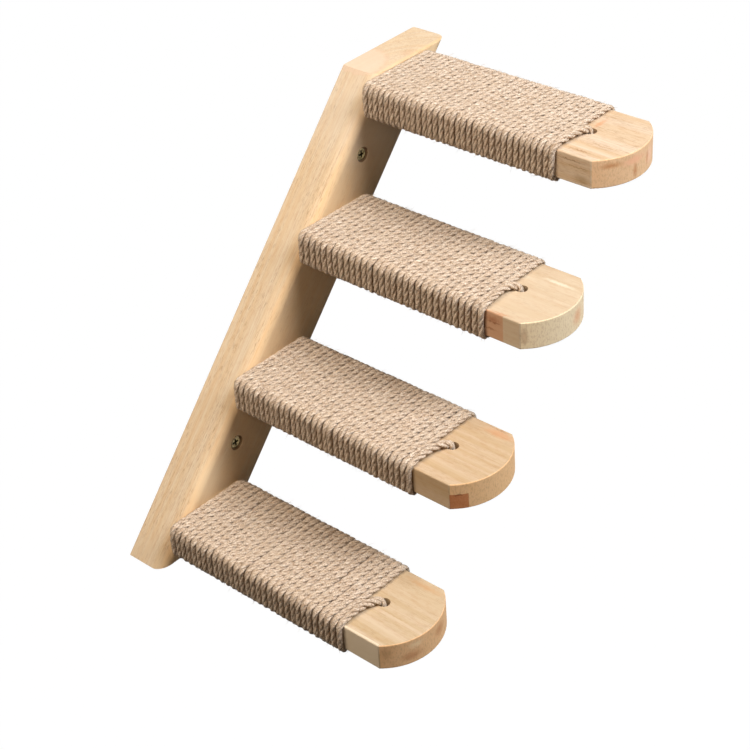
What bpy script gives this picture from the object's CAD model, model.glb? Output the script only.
"""Dresses the cat climbing steps: wood on the rail and treads, turns of laid rope, and threaded screws."""

import math

import bmesh
import bpy
import numpy as np
from mathutils import Matrix, Vector


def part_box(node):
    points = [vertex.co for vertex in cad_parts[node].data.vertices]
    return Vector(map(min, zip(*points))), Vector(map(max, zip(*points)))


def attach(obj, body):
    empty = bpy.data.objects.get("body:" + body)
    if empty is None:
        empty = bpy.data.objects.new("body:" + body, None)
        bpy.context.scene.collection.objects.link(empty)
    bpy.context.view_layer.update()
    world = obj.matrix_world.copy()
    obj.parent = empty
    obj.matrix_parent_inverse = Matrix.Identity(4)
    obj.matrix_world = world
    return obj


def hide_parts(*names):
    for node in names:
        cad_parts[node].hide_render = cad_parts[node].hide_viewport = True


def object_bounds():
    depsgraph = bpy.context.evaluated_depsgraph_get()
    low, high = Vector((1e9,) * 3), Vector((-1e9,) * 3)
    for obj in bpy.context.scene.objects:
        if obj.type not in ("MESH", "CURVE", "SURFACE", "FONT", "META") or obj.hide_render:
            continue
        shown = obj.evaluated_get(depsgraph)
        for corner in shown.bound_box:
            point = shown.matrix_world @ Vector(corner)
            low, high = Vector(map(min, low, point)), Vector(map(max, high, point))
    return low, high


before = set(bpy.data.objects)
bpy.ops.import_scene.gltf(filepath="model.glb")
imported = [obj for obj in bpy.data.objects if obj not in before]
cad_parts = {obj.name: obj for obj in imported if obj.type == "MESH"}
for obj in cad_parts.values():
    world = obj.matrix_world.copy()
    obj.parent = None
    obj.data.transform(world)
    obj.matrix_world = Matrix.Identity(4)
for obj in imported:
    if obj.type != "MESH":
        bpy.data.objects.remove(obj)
cad_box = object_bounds()

MM = 0.001
TREADS = (1, 2, 3, 4)
WALL_SCREWS = ("wall_screw_upper", "wall_screw_lower")

# Camera: angles in degrees, place in metres, lens and sensor in millimetres
CAMERA_AZIMUTH, CAMERA_ELEVATION, CAMERA_ROLL = -46.27, 35.06, -4.5
CAMERA_DISTANCE = 1.17077
CAMERA_TARGET = Vector((-0.06358, -0.16007, 0.02006))
LENS, SENSOR = 82.43, 36.0

# Lamps: angle round from the front towards +X, angle up, distance in metres, power in watts and tint
LAMPS = {
    "key": (20, 58, 1.6, 16.1, (1.0, 1.0, 1.0)),
    "low": (20, 35, 2.0, 20, (1.0, 1.0, 0.98)),
    "left": (-100, 50, 1.1, 9.7, (1.0, 0.84, 0.66)),
    "behind": (155, 12, 2.0, 7, (1.0, 0.96, 0.9)),
}
LAMP_SIZE = 0.7

# The surround lights the part. The backdrop is what the camera and reflections see in its place.
SURROUND_LEVEL, SURROUND_TINT = 0.025, (1.0, 0.7, 0.42, 1)
BACKDROP_LEVEL, BACKDROP_TINT = 1.04, (1, 1, 1, 1)

# The floor, in metres. The backdrop covers this share of it, and the rest keeps the part's shadow.
FLOOR_DROP, FLOOR_SIZE = 3.0, 40
FLOOR_TINT, FLOOR_ROUGHNESS = (0.9, 0.9, 0.9, 1), 0.9
BACKDROP_SHARE = 0.96

# The rail, and the dull ring round each wall screw, in millimetres
RAIL_LEAN = math.radians(43)
RAIL_THICK = 34.0
SEAT_RADIUS, SEAT_REACH = 6.5, 9

# Patterns along the wood's grain: scale across it and along it for each millimetre, detail and roughness.
# The year rings sway, and the pores show where they crowd.
GRAIN = {
    "sway": (0.02, 0.004, 1.0, 0.5),
    "fibres": (2.6, 0.05, 4.0, 0.7),
    "streaks": (1.0, 0.028, 3.0, 0.6),
    "patches": (0.05, 0.012, 1.5, 0.5),
    "blotches": (0.4, 0.14, 4.0, 0.65),
    "pores": (2.2, 0.16, 1.0, 0.5),
    "crowd": (0.11, 0.02, 1.0, 0.5),
}

# Year rings: scale for each millimetre and detail of the broad bands and of the fine rings, and their sway
BAND_SCALE, BAND_DETAIL = 0.16, 1.0
RING_SCALE, RING_DETAIL = 0.75, 1.5
RING_SWAY = 14.0

# Scuffs on end grain: scale for each millimetre, and share
SCUFF_SCALE, SCUFF_SHARE = (0.9, 0.4, 0.3), 0.42

# A stain's outline: how far it wanders in millimetres, and on what scale for each millimetre
WANDER, WANDER_SCALE = 3.4, 0.45

# A mark's share between the wood's fibres, and how much more it has on them
MARK_LEAST, MARK_ON_FIBRES = 0.6, 0.7

# The wood's surface, in metres where it is a length
WOOD_ROUGHNESS = (0.5, 0.66)
WOOD_RELIEF, WOOD_RELIEF_STRENGTH = 0.08 * MM, 0.5
PORE_DEPTH = 1.5
EDGE_RADIUS = 0.13 * MM
BEVEL_SAMPLES = 6
SOFT_SPECULAR = 0.08

# The rope's fibres: yarns round a strand, their slant and scale along it for each millimetre, how much finer
# the fibres are than the yarns, and the scales of dark knots and dull patches for each metre
YARNS_ROUND, YARN_SLANT, YARN_SCALE = 9.0, 0.5, 0.12
FIBRE_FINENESS = (2.2, 3.2, 1.0)
KNOT_SCALE, PATCH_SCALE = 900.0, 38.0
ROPE_RELIEF, ROPE_RELIEF_STRENGTH = 0.28 * MM, 0.9

# The rope, in millimetres. Crossings are counted on each tread's near side in the photograph.
CROSSINGS = {1: 34, 2: 31, 3: 33, 4: 31}
WRAP_REACH = {1: 175.3, 2: 174.5, 3: 172.0, 4: 172.0}
ROPE_SEAT = 0.15
ROPE_HEIGHT = 4.3
ROPE_WIDTH_SHARE = 1.08
SIDE_WIDTH_SHARE = {1: 0.84, 2: 0.79, 3: 0.77, 4: 0.76}
EDGE_HEIGHT_SHARE = 0.82
EDGE_BEND = 5.2
BEND_POINTS = 7
ROPE_STEP = 1.85

# How unevenly the rope lies: the size of a change, and the spacing of its turning points in millimetres.
# The strands' values run on past the rope's end by a spare length.
SEED = 40
REACH_CHANGE, REACH_SPACING = 0.26, 45
HEIGHT_CHANGE, HEIGHT_SPACING = 0.03, 80
SLIP_CHANGE, SLIP_SPACING = 0.12, 70
SWELL_CHANGE, SWELL_SPACING = 0.06, 6
SPARE_LENGTH = 9

# The strands. Fullness is a strand's radius as a share of the rope's width and height.
STRANDS = 3
STRAND_SIDES = 8
STRAND_SPREAD = 1.12
LAY_LENGTH = 20.5
TOP_FULLNESS, TAIL_FULLNESS = 0.25, 0.235
SIDE_FULLNESS = {1: 0.268, 2: 0.28, 3: 0.29, 4: 0.298}

# Loose fibres: sizes in millimetres, angles in degrees, and the rope's steps that are kept clear at its ends
FUZZ_COUNT = 1700
FUZZ_CLEAR = (8, 12)
FUZZ_RADIUS = 0.08
FUZZ_LENGTHS = (2, 6.5)
FUZZ_ANGLES = (20, 160)
FUZZ_SLANT, FUZZ_SLANT_SPREAD = -35, 22
FUZZ_DEPTH = 0.93
FUZZ_LIFT, FUZZ_MOST_LIFT = 0.13, 0.7
FUZZ_CURL, FUZZ_ROOT = 1.6, 0.1
FUZZ_UV_STEP, FUZZ_UV_ROWS, FUZZ_UV_HEIGHT = 7.3, 9, 0.3

# A loose fibre's rings: how far along it, and the share of its radius
FUZZ_RINGS = ((0, 1), (0.5, 0.9), (1, 0.4))

# The tail and its hole, in millimetres. The last three shape it: a power that leans its hump towards the last
# turn, the share of its way that runs straight at the hole, and the power of its growth to full size.
HOLE_REACH, HOLE_RADIUS, HOLE_ROOM = 178.0, 4.5, 0.3
TAIL_WIDTH, TAIL_HEIGHT = 6.6, 6.0
TAIL_DROP, TAIL_BEND, TAIL_BEND_POINTS = 10.0, 3.4, 4
TAIL_HUMP = 1.2
TAIL_HUMP_LEAN, TAIL_STRAIGHT, TAIL_GROWTH = 0.8, 0.3, 0.4

# Each tail: the share of its way before it leaves the last turn, and the angle at which it meets its hole
TAILS = {1: (0.25, 18), 2: (0.6, 45), 3: (0.45, 32), 4: (0.42, 32)}

# The screws, in millimetres. A tiny gap keeps the thread's first ring off the shank's last.
HEAD_RADIUS, SHANK_RADIUS, THREAD_RADIUS, CORE_RADIUS = 4.75, 1.9, 2.5, 1.75
THREAD_PITCH, THREAD_STEPS, THREAD_SHARPNESS = 2.2, 8, 2.6
SCREW_SIDES, SHARP_ANGLE = 32, math.radians(35)
HEAD_SINK = 1.4
POINT_LENGTH, POINT_SHARE = 5.0, 0.05
RECESS_SPAN, RECESS_WIDTH, RECESS_DEPTH, RECESS_OVERRUN = 6.0, 1.7, 2.6, 1.0
TINY_GAP = 0.01

# A screw's head, from its recess to its rim: depth below its top, and distance in from its rim
HEAD_PROFILE = ((0.35, 1.9), (0.3, 1.5), (0.02, 1.1), (0.0, 0.8), (0.3, 0.05), (0.5, 0.0))


def direction(azimuth, elevation):
    """The direction at an angle round from the front towards +X and an angle up, both in degrees."""
    azimuth, elevation = math.radians(azimuth), math.radians(elevation)
    level = math.cos(elevation)
    return Vector((math.sin(azimuth) * level, -math.cos(azimuth) * level, math.sin(elevation)))


def add_camera():
    """Places the camera at the photograph's viewing angle."""
    back = direction(CAMERA_AZIMUTH, CAMERA_ELEVATION)
    right = direction(CAMERA_AZIMUTH + 90, 0)
    up = back.cross(right)
    roll = math.radians(CAMERA_ROLL)
    turned_right = right * math.cos(roll) + up * math.sin(roll)
    turned_up = up * math.cos(roll) - right * math.sin(roll)
    data = bpy.data.cameras.new("camera")
    data.lens, data.sensor_width = LENS, SENSOR
    camera = bpy.data.objects.new("camera", data)
    axes = Matrix((turned_right, turned_up, back)).transposed().to_4x4()
    camera.matrix_world = Matrix.Translation(CAMERA_TARGET + back * CAMERA_DISTANCE) @ axes
    bpy.context.scene.collection.objects.link(camera)
    bpy.context.scene.camera = camera


class Shader:
    """A material's node tree, with short ways to add and join nodes."""

    def __init__(self, name):
        self.material = bpy.data.materials.new(name)
        self.material.use_nodes = True
        self.tree = self.material.node_tree
        self.tree.nodes.clear()
        self.surface = self.add("ShaderNodeBsdfPrincipled")
        self.output = self.add("ShaderNodeOutputMaterial")
        self.join(self.surface.outputs[0], self.output.inputs["Surface"])

    def add(self, kind, inputs=None, **settings):
        node = self.tree.nodes.new(kind)
        for key, value in settings.items():
            setattr(node, key, value)
        for key, value in (inputs or {}).items():
            self.feed(node.inputs[key], value)
        return node

    def join(self, out, into):
        self.tree.links.new(out, into)

    def feed(self, socket, value):
        """Joins a socket to another node's output, or sets it to a constant."""
        if isinstance(value, bpy.types.NodeSocket):
            self.join(value, socket)
        else:
            socket.default_value = value

    def finish(self, **values):
        """Feeds the surface's sockets, whose names are given with _ for a space."""
        for name, value in values.items():
            self.feed(self.surface.inputs[name.replace("_", " ")], value)
        return self.material

    def place(self):
        """The place on the object, in metres."""
        return self.add("ShaderNodeTexCoord").outputs["Object"]

    def math(self, operation, a, b=0.0):
        return self.add("ShaderNodeMath", {0: a, 1: b}, operation=operation).outputs[0]

    def vector(self, operation, a, b=(0, 0, 0)):
        return self.add("ShaderNodeVectorMath", {0: a, 1: b}, operation=operation).outputs[0]

    def split(self, vector):
        return self.add("ShaderNodeSeparateXYZ", {0: vector}).outputs

    def mapped(self, vector, scale, rotation=(0, 0, 0)):
        inputs = {"Vector": vector, "Scale": scale, "Rotation": rotation}
        return self.add("ShaderNodeMapping", inputs).outputs[0]

    def noise(self, vector, scale=1.0, detail=2.0, rough=0.5, output="Fac"):
        inputs = {"Vector": vector, "Scale": scale, "Detail": detail, "Roughness": rough}
        return self.add("ShaderNodeTexNoise", inputs).outputs[output]

    def noise_along(self, distance, scale, detail):
        """Noise that depends on one distance only."""
        inputs = {"W": distance, "Scale": scale, "Detail": detail}
        return self.add("ShaderNodeTexNoise", inputs, noise_dimensions="1D").outputs["Fac"]

    def ramp(self, factor, low, high, share=1.0):
        """0 up to low, and the share from high."""
        inputs = {"Value": factor, "From Min": low, "From Max": high, "To Max": share}
        return self.add("ShaderNodeMapRange", inputs, interpolation_type="SMOOTHSTEP").outputs[0]

    def between(self, factor, low, high):
        """The low value at 0, and the high one at 1."""
        return self.add("ShaderNodeMapRange", {"Value": factor, "To Min": low, "To Max": high}).outputs[0]

    def inside(self, place, centre, size, soft, square):
        """1 inside a round or square region with the half sizes given, 0 outside it."""
        offset = self.vector("DIVIDE", self.vector("SUBTRACT", place, centre), size)
        if square:
            parts = self.split(self.vector("ABSOLUTE", offset))
            reach = self.math("MAXIMUM", self.math("MAXIMUM", parts[0], parts[1]), parts[2])
        else:
            reach = self.add("ShaderNodeVectorMath", {0: offset}, operation="LENGTH").outputs["Value"]
        return self.math("SUBTRACT", 1.0, self.ramp(reach, 1 - soft, 1.0))

    def mix(self, factor, a, b):
        return self.add("ShaderNodeMix", {0: factor, 6: a, 7: b}, data_type="RGBA").outputs[2]

    def bump(self, height, distance, strength, edge=0.0):
        """Fine relief, on edges that look rounded by the radius given."""
        inputs = {"Height": height, "Distance": distance, "Strength": strength}
        if edge:
            bevel = self.add("ShaderNodeBevel", {"Radius": edge}, samples=BEVEL_SAMPLES)
            inputs["Normal"] = bevel.outputs[0]
        return self.add("ShaderNodeBump", inputs).outputs[0]


def colour(red, green, blue):
    """A colour given as it looks on screen, 0 to 255, in the linear form that shaders take."""
    parts = []
    for c in (red, green, blue):
        c /= 255
        parts.append(c / 12.92 if c <= 0.04045 else ((c + 0.055) / 1.055) ** 2.4)
    return (*parts, 1.0)


def stain(centre, size, shade, strength, soft):
    """A mark on wood with a wandering outline."""
    return centre, size, colour(*shade), strength, soft, "stain"


def block(centre, size, shade, strength, soft):
    """A mark with straight sides, as where another piece of wood is glued in."""
    return centre, size, colour(*shade), strength, soft, "block"


def end_grain(shade, strength):
    """The end grain on a tread's rounded tip."""
    return (0, -219, -0.3), (34.9, 16, 11), colour(*shade), strength, 0.02, "end"


PORE = colour(150, 108, 72)

# Each piece of wood has its light, deep and line colours, the place of its pith square to the grain, the
# strength of its lines, and its marks. Each mark has a centre and half sizes in millimetres, a colour, a
# strength and a softness. A tread's marks are measured from the middle of its rear end, with its reach
# along -Y.
WOODS = {
    "wall_rail": dict(
        tones=((230, 215, 191), (226, 204, 172), (196, 148, 104)),
        pith=(-24, -48),
        figure=0.66,
        marks=[
            block((0, -34, 0), (400, 5, 400), (248, 210, 160), 0.6, 0.6),
            stain((100, -17, 108), (70, 60, 60), (246, 238, 226), 0.5, 1.0),
            stain((138, -27, 147), (11, 7, 4), (214, 158, 112), 0.3, 0.9),
            stain((97, -5, 147), (39, 29, 4), (206, 152, 108), 0.35, 0.2),
            stain((97, -5, 147), (37, 27, 4), (238, 218, 198), 0.6, 0.2),
            stain((-172, -8, -138), (12, 16, 20), (226, 208, 182), 0.5, 0.6),
            stain((-118, -34, -98), (24, 10, 30), (255, 232, 196), 0.6, 0.9),
        ],
    ),
    "tread_1": dict(
        tones=((221, 204, 184), (212, 188, 158), (184, 138, 94)),
        pith=(6, -34),
        figure=0.6,
        marks=[
            end_grain((247, 204, 160), 0.85),
            stain((-22, -211, 5.4), (17, 9, 3.2), (196, 122, 66), 0.75, 1.0),
            stain((-7, -218, 4.6), (15, 6, 5.4), (250, 190, 156), 0.75, 0.9),
            stain((-7, -219, -3.8), (3.0, 4, 8.5), (196, 124, 78), 0.75, 1.0),
            stain((12, -218.5, 0), (9, 4, 11), (255, 208, 186), 0.6, 1.0),
            stain((7, -219, 0), (2.2, 4, 10), (214, 146, 108), 0.7, 1.0),
            stain((-35, -186, 6.5), (2, 17, 0.7), (120, 82, 46), 0.6, 0.8),
            stain((-35, -192, 2.5), (2, 12, 0.6), (120, 82, 46), 0.5, 0.8),
            stain((-35, -196, -6), (2, 10, 5), (150, 122, 82), 0.5, 0.9),
            stain((13, -177, 10.8), (12, 3, 3), (212, 146, 104), 0.6, 1.0),
            stain((-27, -188, 10.8), (1.0, 16, 2), (150, 100, 58), 0.6, 0.8),
            stain((-14, -200, 10.8), (0.9, 14, 2), (170, 120, 76), 0.5, 0.8),
            stain((16, -200, 10.8), (0.8, 16, 2), (170, 120, 76), 0.5, 0.8),
        ],
    ),
    "tread_2": dict(
        tones=((213, 196, 172), (207, 187, 160), (192, 152, 116)),
        pith=(-40, -60),
        figure=0.3,
        marks=[
            end_grain((255, 235, 200), 0.92),
            block((-35, -160, 0), (0.9, 29, 14), (200, 146, 112), 0.7, 0.03),
            stain((-35, -180, 5), (1.5, 10, 4.0), (166, 106, 74), 0.7, 1.0),
            stain((-35, -181, 3), (1.5, 9, 1.0), (126, 72, 46), 0.6, 0.8),
            stain((-35, -178, -3), (1.5, 8, 0.9), (126, 72, 46), 0.5, 0.8),
            stain((-33.0, -205, -0.6), (2.7, 4.5, 9.0), (150, 110, 76), 0.5, 0.7),
            stain((-32.8, -205, -0.6), (1.5, 4.5, 6.6), (232, 204, 170), 0.7, 0.8),
            stain((8, -219, 0), (9, 6, 10), (230, 150, 100), 0.5, 0.9),
            stain((20, -196, 10.8), (2.4, 19, 2), (240, 234, 216), 0.6, 0.8),
            stain((-33, -185, 10.8), (1.6, 12, 1.4), (196, 132, 92), 0.6, 0.8),
        ],
    ),
    "tread_3": dict(
        tones=((206, 184, 157), (197, 172, 139), (178, 132, 90)),
        pith=(50, -30),
        figure=0.35,
        marks=[
            end_grain((252, 206, 154), 0.85),
            block((-30.1, -207, -4.4), (4.8, 6, 6.6), (176, 88, 40), 0.75, 0.05),
            stain((-30, -206, 1.4), (4.6, 5, 1.3), (104, 56, 32), 0.6, 0.7),
            stain((29, -196, 10.8), (5, 18, 2), (200, 136, 88), 0.5, 0.8),
            stain((33, -192, 10.8), (1, 13, 2), (140, 86, 50), 0.5, 0.8),
        ],
    ),
    "tread_4": dict(
        tones=((211, 192, 167), (199, 177, 145), (178, 136, 96)),
        pith=(34, 36),
        figure=0.35,
        marks=[
            end_grain((250, 200, 148), 0.85),
            block((-35, -186, 0), (2, 16.5, 12), (234, 220, 198), 0.8, 0.02),
            stain((-31, -206, 3), (7, 6, 8), (184, 140, 104), 0.5, 1.0),
            stain((-15, -215, -3.4), (14, 8, 6), (186, 112, 72), 0.65, 1.0),
            stain((-13, -217, 5.5), (9, 6, 4), (255, 226, 186), 0.7, 0.9),
            stain((10, -219, 2), (10, 6, 8), (182, 116, 74), 0.6, 1.0),
            stain((29, -190, 10.8), (3.4, 24, 2), (196, 146, 98), 0.5, 0.9),
            stain((-6, -192, 10.8), (1, 18, 2), (176, 140, 98), 0.4, 0.8),
        ],
    ),
}


def seat_marks():
    """The dull ring that a countersink leaves round each wall screw."""
    marks = []
    for node in WALL_SCREWS:
        low, high = (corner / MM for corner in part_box(node))
        centre = ((low.x + high.x) / 2, low.y, (low.z + high.z) / 2)
        size = (SEAT_RADIUS, SEAT_REACH, SEAT_RADIUS)
        marks.append((centre, size, colour(94, 62, 34), 0.85, 0.15, "ring"))
    return marks


def grain_patterns(s, grain, pith):
    """The wood's patterns by name. The grain runs along Z, and the year rings lie round the pith."""
    patterns = {}
    for name, (across, along, detail, rough) in GRAIN.items():
        patterns[name] = s.noise(s.mapped(grain, (across, across, along)), detail=detail, rough=rough)
    parts = s.split(grain)
    sides = [s.math("SUBTRACT", parts[i], pith[i]) for i in (0, 1)]
    squares = [s.math("MULTIPLY", side, side) for side in sides]
    radius = s.math("SQRT", s.math("ADD", *squares))
    radius = s.math("ADD", radius, s.math("MULTIPLY", patterns["sway"], RING_SWAY))
    patterns["bands"] = s.noise_along(radius, BAND_SCALE, BAND_DETAIL)
    patterns["rings"] = s.noise_along(radius, RING_SCALE, RING_DETAIL)
    return patterns


def marked(s, tone, here, fibres, line, marks):
    """The tone with the marks laid over it, which the wood's fibres show through."""
    drift = s.noise(here, scale=WANDER_SCALE, detail=3.0, output="Color")
    drift = s.vector("MULTIPLY", s.vector("SUBTRACT", drift, (0.5, 0.5, 0.5)), (WANDER, WANDER, WANDER))
    wandering = s.vector("ADD", here, drift)
    scuffs = s.noise(s.mapped(here, SCUFF_SCALE), detail=4.0, rough=0.75)
    scuffed = s.ramp(scuffs, 0.44, 0.68, SCUFF_SHARE)
    grainy = s.math("ADD", s.math("MULTIPLY", fibres, MARK_ON_FIBRES), MARK_LEAST)
    for centre, size, shade, strength, soft, kind in marks:
        place = wandering if kind == "stain" else here
        spot = s.inside(place, centre, size, soft, square=kind in ("block", "end"))
        if kind == "end":
            shade = s.mix(scuffed, shade, line)
        tone = s.mix(s.math("MULTIPLY", s.math("MULTIPLY", spot, grainy), strength), tone, shade)
    return tone


def wood(name, origin, turn, tones, pith, figure, marks):
    """Smooth pale wood with faint rings, fine streaks, short dark pores and its own marks.

    origin is the place in millimetres that the marks are measured from, and turn lays the grain along Z. The
    rest is as in WOODS.
    """
    s = Shader(name)
    light, deep, line = (colour(*tone) for tone in tones)
    here = s.vector("SUBTRACT", s.vector("MULTIPLY", s.place(), (1 / MM, 1 / MM, 1 / MM)), origin)
    patterns = grain_patterns(s, s.mapped(here, (1, 1, 1), turn), pith)
    # Each layer: its pattern, the values at which it starts and is full, its share, and its colour
    layers = (
        ("bands", 0.35, 0.68, 1.0, deep),
        ("patches", 0.38, 0.7, 0.5, deep),
        ("blotches", 0.46, 0.7, 0.22, line),
        ("rings", 0.54, 0.7, 0.3 * figure, line),
        ("streaks", 0.54, 0.7, 0.42 * figure, line),
        ("fibres", 0.44, 0.7, 0.5 * figure, line),
    )
    tone = light
    for pattern, start, full, share, shade in layers:
        tone = s.mix(s.ramp(patterns[pattern], start, full, share), tone, shade)
    pore = s.math("MULTIPLY", s.ramp(patterns["pores"], 0.57, 0.67), s.ramp(patterns["crowd"], 0.32, 0.56))
    pore_strength = 0.9 * figure - 0.12
    tone = s.mix(s.math("MULTIPLY", pore, pore_strength), tone, PORE)
    fibres = patterns["fibres"]
    relief = s.math("SUBTRACT", fibres, s.math("MULTIPLY", pore, PORE_DEPTH))
    return s.finish(
        Base_Color=marked(s, tone, here, fibres, line, marks),
        Roughness=s.between(fibres, *WOOD_ROUGHNESS),
        Normal=s.bump(relief, WOOD_RELIEF, WOOD_RELIEF_STRENGTH, edge=EDGE_RADIUS),
        Specular_IOR_Level=SOFT_SPECULAR,
    )


def rope_fibre():
    """Pale pinkish plant fibre.

    The UV map runs along a strand in millimetres, and once round it for each V.
    """
    s = Shader("rope_fibre")
    place = s.place()
    along, around, _ = s.split(s.add("ShaderNodeUVMap", uv_map="strand").outputs[0])
    slant = s.math("MULTIPLY", along, YARN_SLANT)
    twist = s.math("SUBTRACT", s.math("MULTIPLY", around, YARNS_ROUND), slant)
    axes = {0: s.math("MULTIPLY", along, YARN_SCALE), 1: twist, 2: s.math("FLOOR", around)}
    yarn_place = s.add("ShaderNodeCombineXYZ", axes).outputs[0]
    yarns = s.noise(yarn_place, detail=1.0)
    fibres = s.noise(s.vector("MULTIPLY", yarn_place, FIBRE_FINENESS), detail=3.0, rough=0.75)
    knots = s.noise(place, scale=KNOT_SCALE, rough=0.7)
    patches = s.noise(place, scale=PATCH_SCALE)
    tone = s.mix(s.ramp(fibres, 0.3, 0.68), colour(184, 154, 126), colour(255, 247, 236))
    tone = s.mix(s.ramp(yarns, 0.44, 0.6, 0.7), tone, colour(190, 164, 138))
    tone = s.mix(s.ramp(knots, 0.5, 0.62, 0.65), tone, colour(130, 98, 70))
    tone = s.mix(s.ramp(patches, 0.42, 0.7, 0.25), tone, colour(206, 187, 166))
    relief = s.math("ADD", fibres, s.math("MULTIPLY", yarns, 0.8))
    return s.finish(
        Base_Color=tone,
        Roughness=0.8,
        Normal=s.bump(relief, ROPE_RELIEF, ROPE_RELIEF_STRENGTH),
        Specular_IOR_Level=SOFT_SPECULAR,
        Sheen_Weight=0.1,
        Sheen_Roughness=0.5,
    )


def screw_metal():
    """Yellow passivated steel, dulled."""
    s = Shader("screw_metal")
    dull = s.noise(s.place(), scale=700.0, detail=3.0)
    return s.finish(
        Base_Color=s.mix(s.ramp(dull, 0.35, 0.7), colour(140, 122, 84), colour(56, 42, 24)),
        Roughness=s.between(dull, 0.16, 0.36),
        Metallic=1.0,
    )


def new_object(name, mesh, material):
    """A piece that rides on the body and takes its finish from the slot."""
    piece = bpy.data.objects.new(name, mesh)
    bpy.context.scene.collection.objects.link(piece)
    mesh.materials.append(material)
    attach(piece, "root")
    return piece


def dress_wood(node, marks, **look):
    """Gives a wooden part of the CAD model its own material."""
    if node == "wall_rail":
        origin, turn = (0, 0, 0), (0, -RAIL_LEAN, 0)
        marks = marks + seat_marks()
    else:
        low, high = (np.array(corner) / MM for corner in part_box(node))
        middle = (low + high) / 2
        origin, turn = (middle[0], high[1], middle[2]), (math.pi / 2, 0, 0)
    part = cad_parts[node]
    part.data.materials.clear()
    part.data.materials.append(wood(f"{node}_wood", origin, turn, marks=marks, **look))


def tube_faces(rings, sides, first):
    """Quads between neighbouring rings of a tube, and its two end faces."""
    ring = np.arange(rings - 1)[:, None] * sides + first
    side = np.arange(sides)[None, :]
    following = (side + 1) % sides
    corners = [ring + side, ring + following, ring + sides + following, ring + sides + side]
    quads = np.stack(corners, axis=-1)
    start = [first + i for i in reversed(range(sides))]
    end = [first + (rings - 1) * sides + i for i in range(sides)]
    return quads.reshape(-1, 4).tolist() + [start, end]


def wave(length, step, spacing, random):
    """A smooth random value for each step along a length, with its turning points a spacing apart."""
    knots = int(length / spacing) + 4
    return np.interp(np.arange(0, length, step), np.arange(knots) * spacing, random.normal(size=knots))


def unit(vectors):
    """The same directions with length 1."""
    return vectors / np.linalg.norm(vectors, axis=1, keepdims=True)


def distances(points):
    """The distance along a line of points to each of them."""
    return np.concatenate([[0], np.cumsum(np.linalg.norm(np.diff(points, axis=0), axis=1))])


def loop_table(half_width, half_thick, radius):
    """One flat loop round a tread, from under its middle: distance, places and outward directions."""
    places, outward = [(0.0, -half_thick)], [(0.0, -1.0)]
    for index, (side_x, side_z) in enumerate([(-1, -1), (-1, 1), (1, 1), (1, -1)]):
        centre = (side_x * (half_width - radius), side_z * (half_thick - radius))
        for angle in np.radians(-90 - 90 * index - np.linspace(0, 90, BEND_POINTS)):
            out_x, out_z = math.cos(angle), math.sin(angle)
            places.append((centre[0] + radius * out_x, centre[1] + radius * out_z))
            outward.append((out_x, out_z))
    places, outward = np.array(places + places[:1]), np.array(outward + outward[:1])
    return distances(places), places, outward


def wound_line(tread, half_width, half_thick, random):
    """The turns round a tread: points, outward directions, widths and heights, and the usual width."""
    lift = ROPE_SEAT + ROPE_HEIGHT / 2
    distance, places, outward = loop_table(half_width + lift, half_thick + lift, EDGE_BEND)
    loop = distance[-1]
    near_top = distance[2 * BEND_POINTS]
    turns = CROSSINGS[tread] - 1
    end = turns * loop + near_top

    along = np.arange(0, end, ROPE_STEP)
    around = along % loop
    x, z = (np.interp(around, distance, places[:, i]) for i in (0, 1))
    out_x, out_z = (np.interp(around, distance, outward[:, i]) for i in (0, 1))

    # A quarter turn follows the whole ones, and half a pitch lies outside the line at each end.
    pitch = (WRAP_REACH[tread] - ROPE_SEAT) / (turns + 0.25 + 2 * 0.5)
    reach = ROPE_SEAT + pitch / 2 + pitch * along / loop
    reach = reach + REACH_CHANGE * wave(end, ROPE_STEP, REACH_SPACING, random)
    points = np.stack([x, -reach, z], axis=1)

    on_side = out_x**4
    on_edge = np.abs(2 * out_x * out_z)
    width = pitch * ROPE_WIDTH_SHARE
    widths = width * (1 - (1 - SIDE_WIDTH_SHARE[tread]) * on_side)
    heights = ROPE_HEIGHT * (1 - (1 - EDGE_HEIGHT_SHARE) * on_edge)
    heights = heights * (1 + HEIGHT_CHANGE * wave(end, ROPE_STEP, HEIGHT_SPACING, random))
    high_way = np.stack([out_x, np.zeros_like(out_x), out_z], axis=1)
    return points, high_way, widths, heights, width


def tail_line(tread, start):
    """The tail from the last turn into its hole: points, high directions, and the share of its full size."""
    up = np.array([0, 0, 1])
    leaves_at, angle = TAILS[tread][0], math.radians(TAILS[tread][1])
    way = np.array([math.cos(angle), -math.sin(angle), 0])
    hole = np.array([0.0, -HOLE_REACH, start[2] + (TAIL_HEIGHT - ROPE_HEIGHT) / 2])
    bend_at = hole - way * (TAIL_BEND + HOLE_RADIUS - HOLE_ROOM - TAIL_HEIGHT / 2)

    span = np.linalg.norm(bend_at - start)
    share = np.linspace(0, 1, int(span / ROPE_STEP) + 1)[1:, None]
    knots = start, start + [span * leaves_at, 0, 0], bend_at - way * span * TAIL_STRAIGHT, bend_at
    over = sum(knot * math.comb(3, k) * share**k * (1 - share) ** (3 - k) for k, knot in enumerate(knots))
    over = over + TAIL_HUMP * up * np.sin(math.pi * share**TAIL_HUMP_LEAN)

    turn = np.radians(np.linspace(0, 90, TAIL_BEND_POINTS + 1))[1:, None]
    bend = bend_at + way * TAIL_BEND * np.sin(turn) - up * TAIL_BEND * (1 - np.cos(turn))
    fall = bend[-1] - np.arange(ROPE_STEP, TAIL_DROP, ROPE_STEP)[:, None] * up

    level = np.repeat([up], len(over), axis=0)
    turning = way * np.sin(turn) + up * np.cos(turn)
    upright = np.repeat([way], len(fall), axis=0)
    grown = np.concatenate([np.linspace(0, 1, len(over)) ** TAIL_GROWTH, np.ones(len(bend) + len(fall))])
    return np.concatenate([over, bend, fall]), np.concatenate([level, turning, upright]), grown


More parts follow.
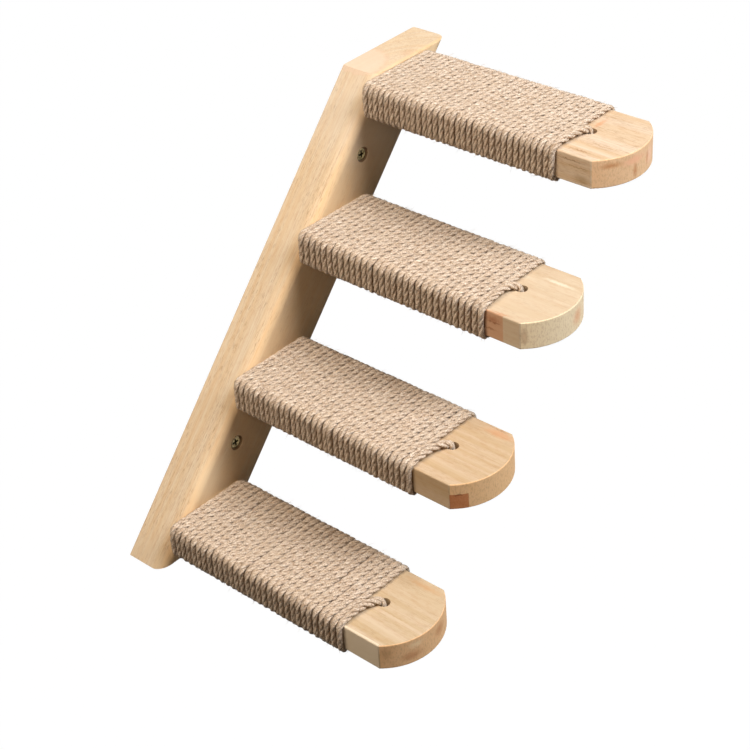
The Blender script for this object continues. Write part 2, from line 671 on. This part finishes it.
def rope_line(tread, random):
    """The rope's centre line on one tread, its wide and high directions, its width, height and fullness."""
    low, high = (np.array(corner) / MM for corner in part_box(f"tread_{tread}"))
    middle, half = (low + high) / 2, (high - low) / 2
    points, high_way, widths, heights, width = wound_line(tread, half[0], half[2], random)
    wound = len(points)
    tail, tail_high, grown = tail_line(tread, points[-1])
    points = np.concatenate([points, tail]) + [middle[0], high[1], middle[2]]
    high_way = np.concatenate([high_way, tail_high])
    widths = np.concatenate([widths, width + (TAIL_WIDTH - width) * grown])
    heights = np.concatenate([heights, ROPE_HEIGHT + (TAIL_HEIGHT - ROPE_HEIGHT) * grown])
    tangent = unit(np.gradient(points, axis=0))
    wide_way = unit(np.cross(high_way, tangent))
    high_way = np.cross(tangent, wide_way)
    on_side = np.sqrt(np.abs(high_way[:, 0]))
    fullness = TOP_FULLNESS + (SIDE_FULLNESS[tread] - TOP_FULLNESS) * on_side
    fullness[wound:] = TAIL_FULLNESS
    return points, wide_way, high_way, widths, heights, fullness


def strand_rings(points, wide_way, high_way, widths, heights, fullness, travelled, strand, random):
    """The surface of one strand: a ring of points round it for each point of the rope's centre line."""
    count = len(points)
    step = travelled[-1] / count
    length = travelled[-1] + SPARE_LENGTH
    slip = wave(length, step, SLIP_SPACING, random)[:count]
    swell = 1 + SWELL_CHANGE * wave(length, step, SWELL_SPACING, random)[:count, None]
    phase = 2 * math.pi * (travelled / LAY_LENGTH + strand / STRANDS)
    angle = (phase + SLIP_CHANGE * slip)[:, None]
    turn = math.pi + 2 * math.pi * np.arange(STRAND_SIDES) / STRAND_SIDES
    radius = fullness[:, None]
    radial = 0.5 - radius + radius * swell * np.cos(turn)
    sideways = STRAND_SPREAD * radius * swell * np.sin(turn)
    wide = (radial * np.cos(angle) - sideways * np.sin(angle)) * widths[:, None]
    tall = (radial * np.sin(angle) + sideways * np.cos(angle)) * heights[:, None]
    return points[:, None] + wide[..., None] * wide_way[:, None] + tall[..., None] * high_way[:, None]


def strand_uv(travelled, strand):
    """The UVs of one strand, in the order of its faces from tube_faces."""
    first_ring, first_side = np.arange(len(travelled) - 1)[:, None], np.arange(STRAND_SIDES)[None, :]
    corners = []
    for on_ring, on_side in ((0, 0), (0, 1), (1, 1), (1, 0)):
        along, around = travelled[first_ring + on_ring], (first_side + on_side) / STRAND_SIDES
        corners.append(np.stack(np.broadcast_arrays(along, around + strand), axis=-1))
    ends = np.zeros((2 * STRAND_SIDES, 2))
    return np.concatenate([np.stack(corners, axis=2).reshape(-1, 2), ends])


def fuzz(points, wide_way, high_way, widths, heights, random):
    """Short fibres that have worked loose: three rings of three points for each."""
    at = random.integers(FUZZ_CLEAR[0], len(points) - FUZZ_CLEAR[1], FUZZ_COUNT)
    angle = np.radians(random.uniform(*FUZZ_ANGLES, FUZZ_COUNT))[:, None]
    out = np.cos(angle) * wide_way[at] + np.sin(angle) * high_way[at]
    wide = np.cos(angle) * widths[at, None] / 2 * wide_way[at]
    tall = np.sin(angle) * heights[at, None] / 2 * high_way[at]
    base = points[at] + FUZZ_DEPTH * (wide + tall)
    tangent = np.cross(wide_way[at], high_way[at])
    slant = np.radians(random.normal(FUZZ_SLANT, FUZZ_SLANT_SPREAD, FUZZ_COUNT))[:, None]
    way = tangent * np.cos(slant) + np.cross(out, tangent) * np.sin(slant)
    length = random.uniform(*FUZZ_LENGTHS, FUZZ_COUNT)[:, None]
    lift = np.minimum(random.exponential(FUZZ_LIFT, FUZZ_COUNT), FUZZ_MOST_LIFT)[:, None]
    across = np.cross(way, out)
    rings = []
    for share, thin in FUZZ_RINGS:
        rise = share * (FUZZ_CURL - share) + FUZZ_ROOT
        middle = base + way * length * share + out * lift * rise
        for corner in np.radians((90, 210, 330)):
            rings.append(middle + FUZZ_RADIUS * thin * (np.cos(corner) * across + np.sin(corner) * out))
    return np.stack(rings, axis=1).reshape(-1, 3)


def fuzz_faces(first):
    """Quads round each loose fibre, whose nine points follow one another."""
    faces = []
    for fibre in range(FUZZ_COUNT):
        for low in (first + 9 * fibre, first + 9 * fibre + 3):
            faces += [(low + i, low + (i + 1) % 3, low + 3 + (i + 1) % 3, low + 3 + i) for i in range(3)]
    return faces


def fuzz_uv():
    """UVs that give each half of each loose fibre one tone, taken from a place of its own."""
    halves = np.repeat([(0, FUZZ_UV_HEIGHT), (1, FUZZ_UV_HEIGHT)], 12, axis=0)
    own_places = [(FUZZ_UV_STEP * fibre, fibre % FUZZ_UV_ROWS) for fibre in range(FUZZ_COUNT)]
    return np.concatenate([halves + place for place in own_places])


def rope(tread, material):
    """The whole rope of one tread, as right-handed laid strands with loose fibres."""
    random = np.random.default_rng(SEED + tread)
    line = rope_line(tread, random)
    travelled = distances(line[0])
    rings = len(travelled)
    vertices, faces, uvs = [], [], []
    for strand in range(STRANDS):
        faces += tube_faces(rings, STRAND_SIDES, strand * rings * STRAND_SIDES)
        vertices.append(strand_rings(*line, travelled, strand, random).reshape(-1, 3))
        uvs.append(strand_uv(travelled, strand))
    faces += fuzz_faces(STRANDS * rings * STRAND_SIDES)
    vertices.append(fuzz(*line[:5], random))
    uvs.append(fuzz_uv())
    mesh = bpy.data.meshes.new(f"rope_{tread}")
    mesh.from_pydata((np.concatenate(vertices) * MM).tolist(), [], faces)
    layer = mesh.uv_layers.new(name="strand")
    layer.data.foreach_set("uv", np.concatenate(uvs).ravel())
    mesh.shade_smooth()
    piece = new_object(f"laid_rope_{tread}", mesh, material)
    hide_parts(f"rope_wrap_{tread}")


def screw_mesh(length):
    """A countersunk cross-head wood screw along +Z, with the top of its head at Z = 0."""
    turn = 2 * math.pi * np.arange(SCREW_SIDES) / SCREW_SIDES
    thread_start = RAIL_THICK - HEAD_SINK

    def ring(radius, z):
        return np.stack([radius * np.cos(turn), radius * np.sin(turn), np.full(SCREW_SIDES, z)], axis=1)

    rings = [ring(HEAD_RADIUS - inset, depth) for depth, inset in HEAD_PROFILE]
    neck = HEAD_PROFILE[-1][0] + HEAD_RADIUS - SHANK_RADIUS
    rings += [ring(SHANK_RADIUS, neck), ring(SHANK_RADIUS, thread_start)]
    for z in np.arange(thread_start + TINY_GAP, length, THREAD_PITCH / THREAD_STEPS):
        taper = min(1.0, (length - z) / POINT_LENGTH)
        rise = min(1.0, (z - thread_start) / THREAD_PITCH)
        from_crest = np.abs(((z / THREAD_PITCH - turn / (2 * math.pi)) % 1) * 2 - 1)
        ridge = np.clip(1 - from_crest * THREAD_SHARPNESS, 0, 1) * rise
        rings.append(ring((CORE_RADIUS + (THREAD_RADIUS - CORE_RADIUS) * ridge) * taper, z))
    rings.append(rings[-1] * [POINT_SHARE, POINT_SHARE, 0] + [0, 0, length])
    mesh = bpy.data.meshes.new("screw")
    faces = [face[::-1] for face in tube_faces(len(rings), SCREW_SIDES, 0)]
    mesh.from_pydata((np.concatenate(rings) * MM).tolist(), [], faces)
    return mesh


def cross_recess():
    """The cutter for a cross recess: two tapered blades."""
    shape = bmesh.new()
    blade = [
        (RECESS_SPAN / 2, RECESS_WIDTH / 2, -RECESS_OVERRUN),
        (RECESS_SPAN / 2, RECESS_WIDTH / 2, 0.0),
        (RECESS_WIDTH, RECESS_WIDTH / 3, RECESS_DEPTH),
    ]
    for turn in (0, math.pi / 2):
        layers = []
        for x, y, z in blade:
            ring = []
            for side_x, side_y in ((-1, -1), (1, -1), (1, 1), (-1, 1)):
                place = Vector((side_x * x, side_y * y, z))
                place.rotate(Matrix.Rotation(turn, 3, "Z"))
                ring.append(shape.verts.new(place * MM))
            layers.append(ring)
        for lower, upper in zip(layers, layers[1:]):
            for i in range(4):
                shape.faces.new((lower[i], lower[(i + 1) % 4], upper[(i + 1) % 4], upper[i]))
        shape.faces.new(layers[0][::-1])
        shape.faces.new(layers[-1])
    mesh = bpy.data.meshes.new("recess")
    bmesh.ops.recalc_face_normals(shape, faces=shape.faces)
    shape.to_mesh(mesh)
    shape.free()
    return mesh


def screw(node, facing, material):
    """A threaded screw in the place of a CAD one.

    facing is +1 if it is driven towards +Y, and -1 if towards -Y.
    """
    low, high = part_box(node)
    body = bpy.data.objects.new("body", screw_mesh((high.y - low.y) / MM))
    cutter = bpy.data.objects.new("cutter", cross_recess())
    for part in (body, cutter):
        bpy.context.scene.collection.objects.link(part)
    cut = body.modifiers.new("recess", "BOOLEAN")
    cut.operation, cut.solver, cut.object, cut.use_self = "DIFFERENCE", "EXACT", cutter, True
    graph = bpy.context.evaluated_depsgraph_get()
    mesh = bpy.data.meshes.new_from_object(body.evaluated_get(graph))
    bpy.data.objects.remove(body)
    bpy.data.objects.remove(cutter)
    mesh.name = f"{node}_mesh"
    head_y = low.y if facing > 0 else high.y
    place = Matrix.Translation(((low.x + high.x) / 2, head_y, (low.z + high.z) / 2))
    mesh.transform(place @ Matrix.Rotation(-facing * math.pi / 2, 4, "X"))
    mesh.shade_smooth()
    mesh.set_sharp_from_angle(angle=SHARP_ANGLE)
    mesh.materials.clear()
    piece = new_object(f"threaded_{node}", mesh, material)
    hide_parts(node)


def sees_backdrop(tree):
    """1 for the rays that show the plain backdrop: the camera's own, reflected and transmitted ones."""
    path = tree.nodes.new("ShaderNodeLightPath")
    seen = path.outputs["Is Camera Ray"]
    for kind in ("Is Glossy Ray", "Is Transmission Ray"):
        either = tree.nodes.new("ShaderNodeMath")
        either.operation = "MAXIMUM"
        tree.links.new(seen, either.inputs[0])
        tree.links.new(path.outputs[kind], either.inputs[1])
        seen = either.outputs[0]
    return seen


def add_floor():
    """A plain pale floor, well below, as the part hangs on a wall."""
    bpy.ops.mesh.primitive_plane_add(size=FLOOR_SIZE, location=(0, 0, cad_box[0].z - FLOOR_DROP))
    floor = bpy.context.object
    floor.name = "floor"
    s = Shader("floor")
    glow = s.add("ShaderNodeEmission", {"Strength": BACKDROP_LEVEL})
    share = s.math("MULTIPLY", sees_backdrop(s.tree), BACKDROP_SHARE)
    blend = s.add("ShaderNodeMixShader", {0: share, 1: s.surface.outputs[0], 2: glow.outputs[0]})
    s.join(blend.outputs[0], s.output.inputs["Surface"])
    floor.data.materials.append(s.finish(Base_Color=FLOOR_TINT, Roughness=FLOOR_ROUGHNESS))


def add_surround():
    """A dim warm world that lights the part, behind a plain white backdrop."""
    world = bpy.data.worlds.new("world")
    bpy.context.scene.world = world
    world.use_nodes = True
    nodes, links = world.node_tree.nodes, world.node_tree.links
    nodes.clear()
    mix, output = nodes.new("ShaderNodeMixShader"), nodes.new("ShaderNodeOutputWorld")
    links.new(sees_backdrop(world.node_tree), mix.inputs[0])
    levels = (SURROUND_LEVEL, SURROUND_TINT), (BACKDROP_LEVEL, BACKDROP_TINT)
    for socket, (level, tint) in zip((1, 2), levels):
        background = nodes.new("ShaderNodeBackground")
        background.inputs["Strength"].default_value = level
        background.inputs["Color"].default_value = tint
        links.new(background.outputs[0], mix.inputs[socket])
    links.new(mix.outputs[0], output.inputs[0])


def add_lamp(name, round_from_front, angle_up, distance, power, tint):
    """A round lamp that faces the middle of the part."""
    away = direction(round_from_front, angle_up)
    data = bpy.data.lights.new(name, "AREA")
    data.shape, data.size, data.energy, data.color = "DISK", LAMP_SIZE, power, tint
    lamp = bpy.data.objects.new(name, data)
    lamp.location = (cad_box[0] + cad_box[1]) / 2 + away * distance
    lamp.rotation_euler = away.to_track_quat("Z", "Y").to_euler()
    bpy.context.scene.collection.objects.link(lamp)


bpy.context.scene.view_settings.view_transform = "Standard"
add_camera()
add_surround()
for name, lamp in LAMPS.items():
    add_lamp(name, *lamp)
add_floor()

for node, look in WOODS.items():
    dress_wood(node, **look)

fibre = rope_fibre()
for tread in TREADS:
    rope(tread, fibre)

metal = screw_metal()
for node in sorted(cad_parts):
    if "screw" in node:
        screw(node, 1 if node in WALL_SCREWS else -1, metal)
